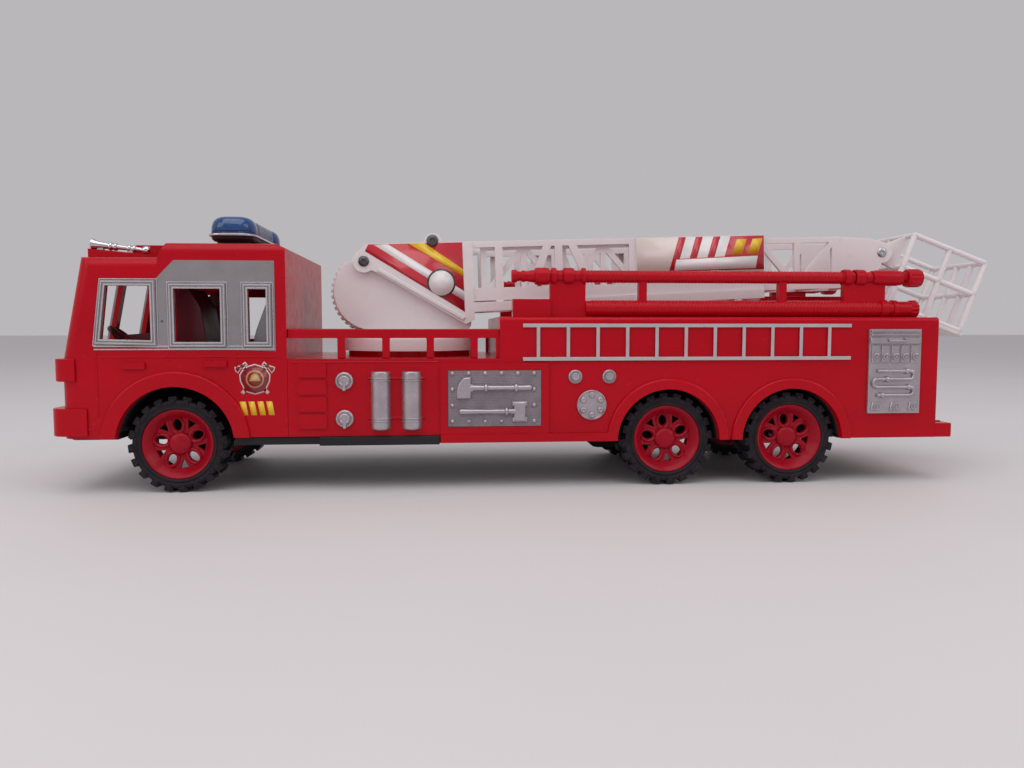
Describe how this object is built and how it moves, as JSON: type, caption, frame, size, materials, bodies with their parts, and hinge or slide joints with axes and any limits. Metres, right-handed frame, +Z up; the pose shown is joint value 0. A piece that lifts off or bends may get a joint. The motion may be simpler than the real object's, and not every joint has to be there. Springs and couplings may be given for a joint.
{
  "type": "toy ladder fire truck",
  "caption": "Moulded toy fire truck with rolling lugged wheels, hollow cab, hose racks and a white ladder that raises, slides out and carries a tilting basket.",
  "frame": {"origin": "on the floor, under the centre of the truck's overall box", "axes": "+X to the front bumper, +Y to the truck's left side, +Z up"},
  "size_m": [0.3522, 0.0874, 0.0971],
  "materials": {
    "body_red": "moulded gloss",
    "ladder_white": "moulded gloss",
    "panel_grey": "satin silver-grey",
    "detail_silver": "silver sprayed",
    "bright_chrome": "plated",
    "lens_blue": "translucent gloss",
    "lens_clear": "clear",
    "lens_amber": "translucent gloss",
    "chassis_black": "moulded matt",
    "tyre_black": "soft matt",
    "wheel_red": "moulded gloss",
    "seat_dark_red": "moulded matt",
    "bench_grey": "moulded matt",
    "pin_steel": "plain"
  },
  "bodies": {
    "truck": {"cab_shell": "body_red", "window_panel_left": "panel_grey", "window_panel_right": "panel_grey", "windscreen_frame": "panel_grey", "front_bumper": "body_red", "lamp_band": "body_red", "front_grille": "detail_silver", "headlamps": "lens_clear", "cab_seats": "seat_dark_red", "rear_bench": "bench_grey", "dashboard": "seat_dark_red", "roof_horns": "bright_chrome", "light_bar_tray": "bright_chrome", "light_bar_feet": "chassis_black", "light_bar_domes": "lens_blue", "light_bar_middle": "lens_clear", "body_shell": "body_red", "railing_left": "body_red", "railing_right": "body_red", "tool_panel_left": "detail_silver", "tool_panel_right": "detail_silver", "air_bottles": "detail_silver", "outlet_caps": "detail_silver", "side_ladder_left": "detail_silver", "side_ladder_right": "detail_silver", "locker_panels": "detail_silver", "hose_rack_left": "body_red", "hose_rack_right": "body_red", "rear_bumper": "body_red", "rear_shutter": "detail_silver", "tail_lamps": "lens_amber", "chassis_plate": "chassis_black", "side_steps": "chassis_black", "motor_housing": "chassis_black", "turntable_disc": "ladder_white", "turret": "ladder_white", "ladder_pin": "pin_steel", "ladder_rest": "body_red"},
    "front_wheels": {"axle_front": "pin_steel", "rim_front_left": "wheel_red", "rim_front_right": "wheel_red", "tyre_front_left": "tyre_black", "tyre_front_right": "tyre_black"},
    "middle_wheels": {"axle_middle": "pin_steel", "rim_middle_left": "wheel_red", "rim_middle_right": "wheel_red", "tyre_middle_left": "tyre_black", "tyre_middle_right": "tyre_black"},
    "rear_wheels": {"axle_rear": "pin_steel", "rim_rear_left": "wheel_red", "rim_rear_right": "wheel_red", "tyre_rear_left": "tyre_black", "tyre_rear_right": "tyre_black"},
    "ladder": {"ladder_base": "ladder_white"},
    "ladder_slide": {"ladder_extension": "ladder_white", "basket_pin": "pin_steel"},
    "basket": {"rescue_basket": "ladder_white"}
  },
  "joints": [
    {"name": "front_wheels_roll", "type": "hinge", "parent": "truck", "child": "front_wheels", "pos_m": [0.13432, 0, 0.017], "axis": [0, 1, 0], "continuous": true},
    {"name": "middle_wheels_roll", "type": "hinge", "parent": "truck", "child": "middle_wheels", "pos_m": [-0.03948, 0, 0.017], "axis": [0, 1, 0], "continuous": true},
    {"name": "rear_wheels_roll", "type": "hinge", "parent": "truck", "child": "rear_wheels", "pos_m": [-0.08578, 0, 0.017], "axis": [0, 1, 0], "continuous": true},
    {"name": "ladder_raise", "type": "hinge", "parent": "truck", "child": "ladder", "pos_m": [0.07162, 0, 0.0825], "axis": [0, 1, 0], "range_deg": [0, 60]},
    {"name": "ladder_extend", "type": "slide", "parent": "ladder", "child": "ladder_slide", "axis": [-0.9995, 0, 0.0314], "range_m": [0, 0.07]},
    {"name": "basket_tilt", "type": "hinge", "parent": "ladder_slide", "child": "basket", "pos_m": [-0.13272, 0, 0.08762], "axis": [0, 1, 0], "range_deg": [0, 45]}
  ]
}
